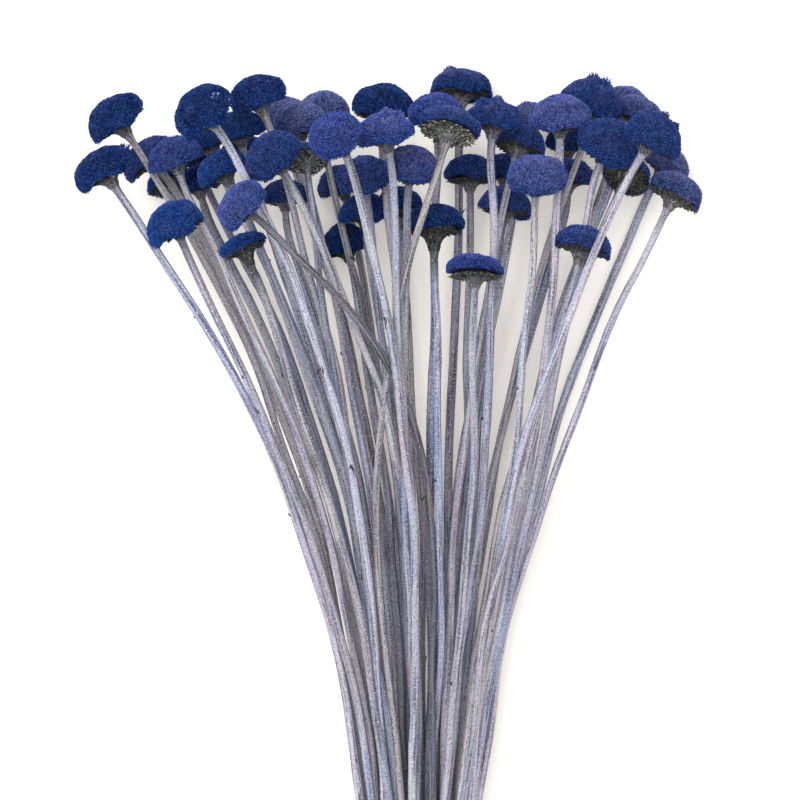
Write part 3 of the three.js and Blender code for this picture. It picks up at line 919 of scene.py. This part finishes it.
def make_stalks(heads, sweep, finish):
    """All the stalks with their cups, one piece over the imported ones."""
    lines = []
    for head in heads:
        number, run = head.number, run_along(head.line)
        cup_points, widths = cup_line(head)
        near_cup = np.clip(1 - (run[-1] - run) / NECK_LONG, 0, 1)
        shade = DARK_NECK_SHADE if number in DARK_CUPS else NECK_SHADE
        draws = random.Random(SEEDS["stalks"] + number)
        values = {
            "thick": np.concatenate([head.radii, widths]) * MM,
            "cup": [*shade * near_cup**2, *np.linspace(shade, 1, len(widths))],
            "hue": draws.random(),
            "light": SHADES.get(number, draws.uniform(*STALK_LIGHT)),
            "apart": number * STALKS_APART,
        }
        lines.append((np.concatenate([head.line, cup_points]), values))
    stalks = grown(
        "ribbed_stalks", lines_mesh(lines), sweep, sides=STALK_SIDES, ribs=float(RIBS),
        rib_deep=RIB_DEEP, finish=finish,
    )
    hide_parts("stalks")
    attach(stalks, "root")


# Copies of one shape: bracts, stubs and snags, scraps, and the pith of the cut ends

# Rows of bracts from the neck to the rim: how many, and the width and depth of their roots
# and of their tips, as shares of the bloom's radius
BRACT_ROWS = [
    (8, (0.15, -0.54), (0.25, -0.32)),
    (11, (0.2, -0.38), (0.38, -0.19)),
    (15, (0.3, -0.25), (0.54, -0.13)),
    (20, (0.44, -0.17), (0.7, -0.11)),
    (25, (0.58, -0.12), (0.85, -0.12)),
    (30, (0.72, -0.1), (0.98, -0.15)),
]

# How far a bract strays from its place in the row, its length and width as shares of that
# place and its thickness as a share of the bloom's radius, how far its tip lifts, and how
# much the way out tells its outer side
BRACT_STRAYS = 0.4
BRACT_LONG = (0.75, 1.1)
BRACT_WIDE = (1.08, 1.368)
BRACT_THICK = 0.035
BRACT_LIFTS = 0.1
OUTER_SIDE = 0.2
BRACT_ABOVE_SURFACE = 0.8

# How grey the lower bracts are, and how much less so on a dark cup
GREY_DRAWS = (0.6, 1)
DARK_CUP_GREY = 0.15
GREY_VARIES = 0.2

# The blooms whose bracts stayed pale, how pale the rest are, and how much is left at the neck
PALE_BRACTS = {23: 0.75, 31: 0.85, 38: 0.45, 50: 0.15, 46: 0.25, 54: 0.35}
COMMON_PALE = 0.08
PALE_DRAWS = (0.3, 1.3)
NECK_PALE = 0.3


def placed_copies():
    """The tree that sets a copy of a shape on every point, the way the point says."""
    tree, given = new_growth("placed_copies", {"Shape": "Object", "Finish": "Material"})
    facing, heading, size = [
        add(tree, "GeometryNodeInputNamedAttribute", {"Name": name}, data_type="FLOAT_VECTOR")
        for name in ("facing", "heading", "size")
    ]
    links = {"Primary Axis": facing, "Secondary Axis": heading}
    rotation = add(
        tree, "FunctionNodeAxesToRotation", links, primary_axis="Z", secondary_axis="Y"
    )
    shape = add(tree, "GeometryNodeObjectInfo", {"Object": given["Shape"]})
    links = {"Points": given["Geometry"], "Instance": shape.outputs["Geometry"]}
    links |= {"Rotation": rotation, "Scale": size}
    end_growth(tree, add(tree, "GeometryNodeInstanceOnPoints", links), given["Finish"])
    return tree


def copies_piece(name, places, shape, tree, finish):
    """One piece of all the copies of a shape, each with its point, the ways it faces and heads
    and its size, in millimetres, and its grain and shade."""
    points, facing, heading, size, grain, shade = zip(*places)
    values = {"facing": facing, "heading": heading, "grain": grain, "shade": shade}
    mesh = plain_mesh("places", np.array(points) * MM, size=np.array(size) * MM, **values)
    piece = grown(name, mesh, tree, shape=shape, finish=finish)
    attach(piece, "root")
    bpy.data.objects.remove(shape)


def bract_shape():
    """One bract, a pointed blade with a raised midrib, one unit long, wide and thick."""
    points = [
        (-0.36, 0, 0), (0.36, 0, 0), (-0.5, 0.45, 0), (0.5, 0.45, 0), (0, 1, 0.2),
        (0, 0, 1), (0, 0.45, 1),
    ]
    faces = [
        (0, 5, 6, 2), (5, 1, 3, 6), (2, 6, 4), (6, 3, 4), (0, 2, 3, 1), (2, 4, 3), (0, 1, 5),
    ]
    return pattern("bract", points, [face[::-1] for face in faces])


def make_bracts(heads, tree, finish):
    """Rows of dry bracts that lap up the cups, the last row under the rims of the blooms."""
    places = []
    for head in heads:
        draws = random.Random(SEEDS["bracts"] + head.number)
        sides = square_to(head.axis)
        for row, (count, *_) in enumerate(BRACT_ROWS):
            for k in range(count):
                place = k + 0.5 * (row % 2) + draws.uniform(-BRACT_STRAYS, BRACT_STRAYS)
                out = way_round(sides, FULL_TURN * place / count)
                put_bract(places, head, row, out, draws)
    copies_piece("cup_bracts", places, bract_shape(), tree, finish)


def put_bract(places, head, row, out, draws):
    """One bract up the cup in this direction, unless it would lie in the surface."""
    number, radius, axis = head.number, head.radius, head.axis
    count, *ends = BRACT_ROWS[row]
    deep = DEEP_CUPS.get(number, 1)
    root, tip = [out * width + axis * depth * deep for width, depth in ends]
    if (head.centre + tip * radius)[2] < BRACT_ABOVE_SURFACE:
        return
    heading = tip - root
    facing = np.cross(heading, np.cross(axis, out))
    facing = unit(facing) * -np.sign(facing @ axis - OUTER_SIDE * facing @ out)
    long = np.linalg.norm(heading) * radius * draws.uniform(*BRACT_LONG)
    wide = FULL_TURN * ends[0][0] * radius / count * draws.uniform(*BRACT_WIDE)
    facing = facing + out * draws.uniform(0, BRACT_LIFTS)
    # Grey fades out towards the rim, so the top rows are near black: partly their own colour,
    # partly painted shade under the cap
    grey = max(0, 1 - 2 * row / len(BRACT_ROWS)) * draws.uniform(*GREY_DRAWS)
    grey *= DARK_CUP_GREY if number in DARK_CUPS else 1
    grey += draws.random() * GREY_VARIES
    pale = PALE_BRACTS.get(number, COMMON_PALE) * draws.uniform(*PALE_DRAWS)
    pale *= NECK_PALE + (1 - NECK_PALE) * row / (len(BRACT_ROWS) - 1)
    size = (wide, long, BRACT_THICK * radius)
    places.append((head.centre + root * radius, facing, heading, size, grey, pale))


# Snags, by their place from the tie's middle and the way they point, in degrees clockwise
# from +Y, with the lengths of their splinters
SNAGS = [
    (-21.5, 249.4, 140), (-27.5, 214.7, 200), (-19, 186, 150), (0.7, 173.1, 10), (10.5, 258, 20),
    (-11, 231, 215), (53, 212, 30), (-48, 200, 330), (17, 150, 60),
]
SNAG_LONG = (4.4, 3.2, 2.1)
SNAG_WIDE = 0.45
SNAG_RISE = 0.5
SNAG_SPREAD = 0.5
SNAG_GREY = 0.3

# How near to a snag's place its stalk lies, and where on the stalk's radius it grows
SNAG_REACH = 1.5
SNAG_ROOT = 0.7

# Stubs of leaves: the share of the joints that have one, their size, how far they lean along
# the stalk, and where on its radius they grow
STUB_SHARE = 0.3
STUB_LONG = (0.8, 1.6)
STUB_WIDE = 0.8
STUB_THICK = 0.45
STUB_LEANS = (1.2, 2.5)
STUB_ROOT = 0.85


def make_stubs(heads, tie, tree, finish):
    """Snags of side shoots, and dry stubs where leaves broke off."""
    places = []
    put_snags(places, heads, tie)
    for head in heads:
        put_stubs(places, head)
    copies_piece("leaf_stubs", places, bract_shape(), tree, finish)


def put_snags(places, heads, tie):
    """Snags on the topmost stalks at their places, each of a few splinters."""
    draws = random.Random(SEEDS["snags"])
    lines = np.concatenate([head.line for head in heads])
    for x, y, degrees in SNAGS:
        gaps = np.linalg.norm(lines[:, :2] - tie[:2] - (x, y), axis=1)
        near = lines[gaps < gaps.min() + SNAG_REACH]
        root = near[np.argmax(near[:, 2])] + (0, 0, STALK_RADIUS * SNAG_ROOT)
        for long in SNAG_LONG:
            spread = [draws.uniform(-SNAG_SPREAD, SNAG_SPREAD) for _ in range(2)]
            heading = compass(degrees, SNAG_RISE) + [*spread, 0]
            size = (SNAG_WIDE, long, SNAG_WIDE)
            places.append((root, (0, 0, 1), heading, size, SNAG_GREY, 0))


def put_stubs(places, head):
    """Stubs at some of the joints of one stalk."""
    line, draws = head.line, random.Random(SEEDS["stubs"] + head.number)
    run = run_along(line)
    for joint in joints_of(head.number, run[-1]):
        k = int(np.searchsorted(run, joint))
        along = unit(line[k] - line[k - 1])
        out = way_round(square_to(along), draws.uniform(0, FULL_TURN))
        if draws.random() > STUB_SHARE:
            continue
        size = (STUB_WIDE, draws.uniform(*STUB_LONG), STUB_THICK)
        root = line[k] + out * head.radii[k] * STUB_ROOT
        heading = out + along * draws.uniform(*STUB_LEANS)
        places.append((root, np.cross(along, out), heading, size, draws.random(), 0))


# Dry scraps caught on the blooms, by their place from the tie's middle, with their colours
SCRAPS = [
    (-64, 300.3, "#6f7cae"), (-61.8, 300.6, "#8b93bb"), (-63.2, 299.2, "#5c6aa2"),
    (-104.3, 279.4, "#4a443f"), (32.9, 275.3, "#4a443f"), (-79, 287.2, "#6c3f8c"),
]
SCRAP_SIZE = (0.91, 1.3, 0.3)
SCRAP_REACH = 0.65
SCRAP_RISE = 0.2


def make_scraps(tie, tree, finish):
    """Small dry scraps that lie where the camera sees the blooms."""
    places, draws = [], random.Random(SEEDS["scraps"])
    pieces = [piece for piece in bpy.data.objects if piece.name.startswith("bloom_")]
    points = np.concatenate([[point.co / MM for point in piece.data.vertices] for piece in pieces])
    for x, y, colour in SCRAPS:
        near = points[np.linalg.norm(points[:, :2] - tie[:2] - (x, y), axis=1) < SCRAP_REACH]
        heading = (draws.uniform(-1, 1), draws.uniform(-1, 1), SCRAP_RISE)
        root = near[np.argmax(near[:, 2])]
        places.append((root, (0, 0, 1), heading, SCRAP_SIZE, 0, linear(colour)[:3]))
    copies_piece("caught_scraps", places, bract_shape(), tree, finish)


# The pith: its share of the stalk's width, how far it stands out, and its edge, by radius
# and height
PITH_WIDE = 0.66
PITH_PROUD = 0.08
PITH_EDGE = [(1, -1), (1, 0.5), (0.6, 1)]
PITH_SIDES = 12
PITH_GRAIN = 0.5


def pith_shape():
    """A round of pith, one unit in radius and high, domed a little."""
    turns = [FULL_TURN * k / PITH_SIDES for k in range(PITH_SIDES)]
    points = [(r * math.cos(t), r * math.sin(t), z) for r, z in PITH_EDGE for t in turns]
    return pattern("pith", points, tube_faces(len(PITH_EDGE), PITH_SIDES))


def make_pith(heads, tree, finish):
    """Cream pith in the middle of every cut end."""
    places = []
    for head in heads:
        foot, after = head.line[:2]
        out = unit(foot - after)
        wide = head.radii[0] * PITH_WIDE
        size = (wide, wide, PITH_PROUD)
        places.append((foot, out, square_to(out)[0], size, PITH_GRAIN, 0))
    copies_piece("pith_of_cut_ends", places, pith_shape(), tree, finish)


# The twine tie

# The twine's two plies: how thick they are, how far out they lie, and how long a twist is
TWINE_RADIUS = TWINE / 2
PLY_RADIUS = 0.56
PLY_OUT = 0.46
PLY_LAY = 5.5
PLY_SIDES = 8
TWINE_STEP = 0.55

# The knot: how far it lies over the turns, and its route
KNOT_HIGH = 1.04
KNOT_ROUTE = [
    (-8.9, 0.4, 7.4), (-6.2, 0.6, 5.2), (-3.6, 0.4, 3.1), (-1.6, -0.6, 1.5), (0.6, -1.7, 0.6),
    (2.4, -1.1, -0.1), (2.7, 0.6, 0.1), (1.3, 1.8, 0.9), (-0.7, 1.5, 1.9), (-2.1, 0.1, 1.3),
    (-2.0, -1.5, 0.2), (-0.3, -2.1, -0.3), (1.5, -1.2, 0.8), (3.2, 0.1, 2.5), (5.9, -0.5, 4.9),
    (8.9, -0.3, 7.2),
]

# Loose fibres, along the twine and at its frayed ends: their number, size and curl, where on
# the twine's radius they come out, and how far they stand off it
FIBRES_PER_MM = 0.5
FRAYED = 14
FIBRE_LONG = (1.2, 3.2)
FIBRE_WIDE = 0.09
FIBRE_THICK = 0.03
FIBRE_SIDES = 3
FIBRE_ROOT = 0.9
FIBRE_STANDS = 0.6
FRAY_STANDS = 0.4
FIBRE_LINE = [(0, 0), (0.4, 0.04), (0.75, 0.16), (1, 0.34)]


def twine_routes(tie):
    """The middle lines of the twine: five turns round the stalks, and the knot on top."""
    ring = TIE_INSIDE + TWINE_RADIUS
    turns = np.linspace(0, 1, int(FULL_TURN * ring * TWINE_TURNS / TWINE_STEP))
    angle = FULL_TURN * TWINE_TURNS * turns
    along = (turns - 0.5) * TWINE * (TWINE_TURNS - 1)
    wound = np.stack([ring * np.sin(angle), along, ring * np.cos(angle)], axis=1)
    route = np.array(KNOT_ROUTE) + (0, 0, ring + TWINE_RADIUS * KNOT_HIGH)
    knot = smooth_route(route, TWINE_STEP)
    return [wound + tie, knot + tie]


def smooth_route(route, step):
    """A route's points joined by a smooth curve, whose pull at each is a sixth of the way
    between its neighbours, one step apart."""
    padded = np.concatenate([[2 * route[0] - route[1]], route, [2 * route[-1] - route[-2]]])
    line = []
    for k in range(1, len(padded) - 2):
        before, start, end, after = padded[k - 1 : k + 3]
        pulls = start + (end - before) / 6, end - (after - start) / 6
        steps = max(2, int(np.linalg.norm(end - start) / step))
        line.append(bezier((start, *pulls, end), steps))
    return np.concatenate([*line, route[-1:]])


def plied(line):
    """The two plies that are twisted round each other along a line."""
    ahead = np.gradient(line, axis=0)
    ahead /= np.linalg.norm(ahead, axis=1)[:, None]
    side = square_to(ahead[0])[0]
    sides = []
    for way in ahead:
        side = unit(side - way * (side @ way))
        sides.append(side)
    sides = np.array(sides)
    others = np.cross(ahead, sides)
    twist = FULL_TURN * run_along(line) / PLY_LAY
    plies = []
    for start in (0, math.pi):
        turn = (twist + start)[:, None]
        ply = line + PLY_OUT * (sides * np.cos(turn) + others * np.sin(turn))
        ply[:, 2] = np.maximum(ply[:, 2], PLY_RADIUS)
        plies.append(ply)
    return plies


def make_tie(tie, sweep, finish):
    """Two-ply twine wound five times round the stalks and knotted on top."""
    lines, count = [], 0
    for route in twine_routes(tie):
        for ply in plied(route):
            lines.append((ply, {"thick": PLY_RADIUS * MM, "apart": count * PLIES_APART}))
            count += len(ply)
    twine = grown(
        "wound_twine", lines_mesh(lines), sweep, sides=PLY_SIDES, ribs=0.0, rib_deep=0.0,
        finish=finish,
    )
    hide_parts("tie")
    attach(twine, "root")


def fibre_shape():
    """One loose fibre, one unit long, that curls up from the twine."""
    turns = [-FULL_TURN * k / FIBRE_SIDES for k in range(FIBRE_SIDES)]
    points = [
        (math.cos(turn) / 2, along, out + math.sin(turn) * FIBRE_THICK / 2)
        for along, out in FIBRE_LINE for turn in turns
    ]
    return pattern("fibre", points, tube_faces(len(FIBRE_LINE), FIBRE_SIDES))


def make_fibres(tie, tree, finish):
    """Fibres that have worked loose all along the twine, and its two frayed ends."""
    places, draws = [], random.Random(SEEDS["fibres"])
    routes = twine_routes(tie)
    for route in routes:
        for _ in range(int(run_along(route)[-1] * FIBRES_PER_MM)):
            k = draws.randrange(1, len(route))
            way = unit(route[k] - route[k - 1])
            out = way_round(square_to(way), draws.uniform(0, FULL_TURN))
            out *= 1 if out @ (route[k] - tie) > 0 else -1
            heading = way * draws.choice((-1, 1)) + out * draws.uniform(0, FIBRE_STANDS)
            put_fibre(places, route[k] + out * TWINE_RADIUS * FIBRE_ROOT, out, heading, draws)
    knot = routes[-1]
    for end, before in ((0, 1), (-1, -2)):
        way = unit(knot[end] - knot[before])
        for _ in range(FRAYED):
            out = way_round(square_to(way), draws.uniform(0, FULL_TURN))
            heading = way + out * draws.uniform(0, FRAY_STANDS)
            put_fibre(places, knot[end] + out * PLY_OUT, out, heading, draws)
    copies_piece("loose_fibres", places, fibre_shape(), tree, finish)


def put_fibre(places, point, out, heading, draws):
    """One fibre of its own length, unless it would reach into the surface."""
    long = draws.uniform(*FIBRE_LONG)
    if (point + (heading + out) * long)[2] > 0:
        places.append((point, out, heading, (FIBRE_WIDE, long, long), draws.random(), 0))


# Stage, light and camera

# The surface's corners, and the lights' places and sizes, in metres
SURFACE_CORNERS = [(-3, -3, 0), (3, -3, 0), (3, 3, 0), (-3, 3, 0)]
HEADS_MIDDLE = 0.12
KEY_PLACE = (-0.55, 0.75, 1.5)
KEY_SIZE = 1.1
KEY_POWER = 15
OVERHEAD_PLACE = (0, HEADS_MIDDLE, 2)
OVERHEAD_SOFT = 0.7
OVERHEAD_POWER = 2.1
SKY = 0.47
CAMERA_SEES = 100


def make_stage():
    """A plain white surface, lit evenly from above, and white all round."""
    floor = shown("surface", plain_mesh("surface", SURFACE_CORNERS, [(0, 1, 2, 3)]))
    floor.data.materials.append(white_surface())
    world = bpy.data.worlds.new("studio")
    world.use_nodes = True
    sky = world.node_tree.nodes["Background"].inputs
    sky["Color"].default_value = linear("#ffffff")
    sky["Strength"].default_value = SKY
    bpy.context.scene.world = world
    add_light("key", "AREA", KEY_PLACE, size=KEY_SIZE, energy=KEY_POWER)
    add_light("overhead", "SUN", OVERHEAD_PLACE, angle=OVERHEAD_SOFT, energy=OVERHEAD_POWER)


def add_light(name, kind, place, **settings):
    """A light at a place, turned towards the middle of the heads."""
    data = bpy.data.lights.new(name, kind)
    for key, value in settings.items():
        setattr(data, key, value)
    light = shown(name, data)
    light.location = place
    aim = Vector((0, HEADS_MIDDLE, 0)) - Vector(place)
    light.rotation_euler = aim.to_track_quat("-Z", "Y").to_euler()


def make_camera(tie):
    """A camera far above, with a long lens, that looks straight down."""
    data = bpy.data.cameras.new("camera")
    data.sensor_width = SENSOR
    data.lens = SENSOR * (CAMERA_FAR - FRAME_HEIGHT) / FRAME_WIDE
    data.clip_end = CAMERA_SEES
    camera = shown("camera", data)
    middle = tie[:2] + SEEN_FROM_TIE
    camera.location = (*middle * MM, CAMERA_FAR * MM)
    bpy.context.scene.camera = camera


bpy.context.scene.view_settings.view_transform = "Standard"
tie = tie_middle()
make_camera(tie)
make_stage()
heads = [read_cap(number + 1) for number in range(BLOOMS)]
for head, slot in zip(heads, stalk_slots(BLOOMS)):
    head.line, head.radii = stalk_line(head, slot, tie)
make_blooms(heads, dyed_florets())
sweep = swept_lines()
make_stalks(heads, sweep, dry_stalk())
twine = jute()
make_tie(tie, sweep, twine)
copies, bracts = placed_copies(), dry_bract()
make_fibres(tie, copies, twine)
make_bracts(heads, copies, bracts)
make_stubs(heads, tie, copies, bracts)
make_scraps(tie, copies, dry_scrap())
make_pith(heads, copies, cut_pith())
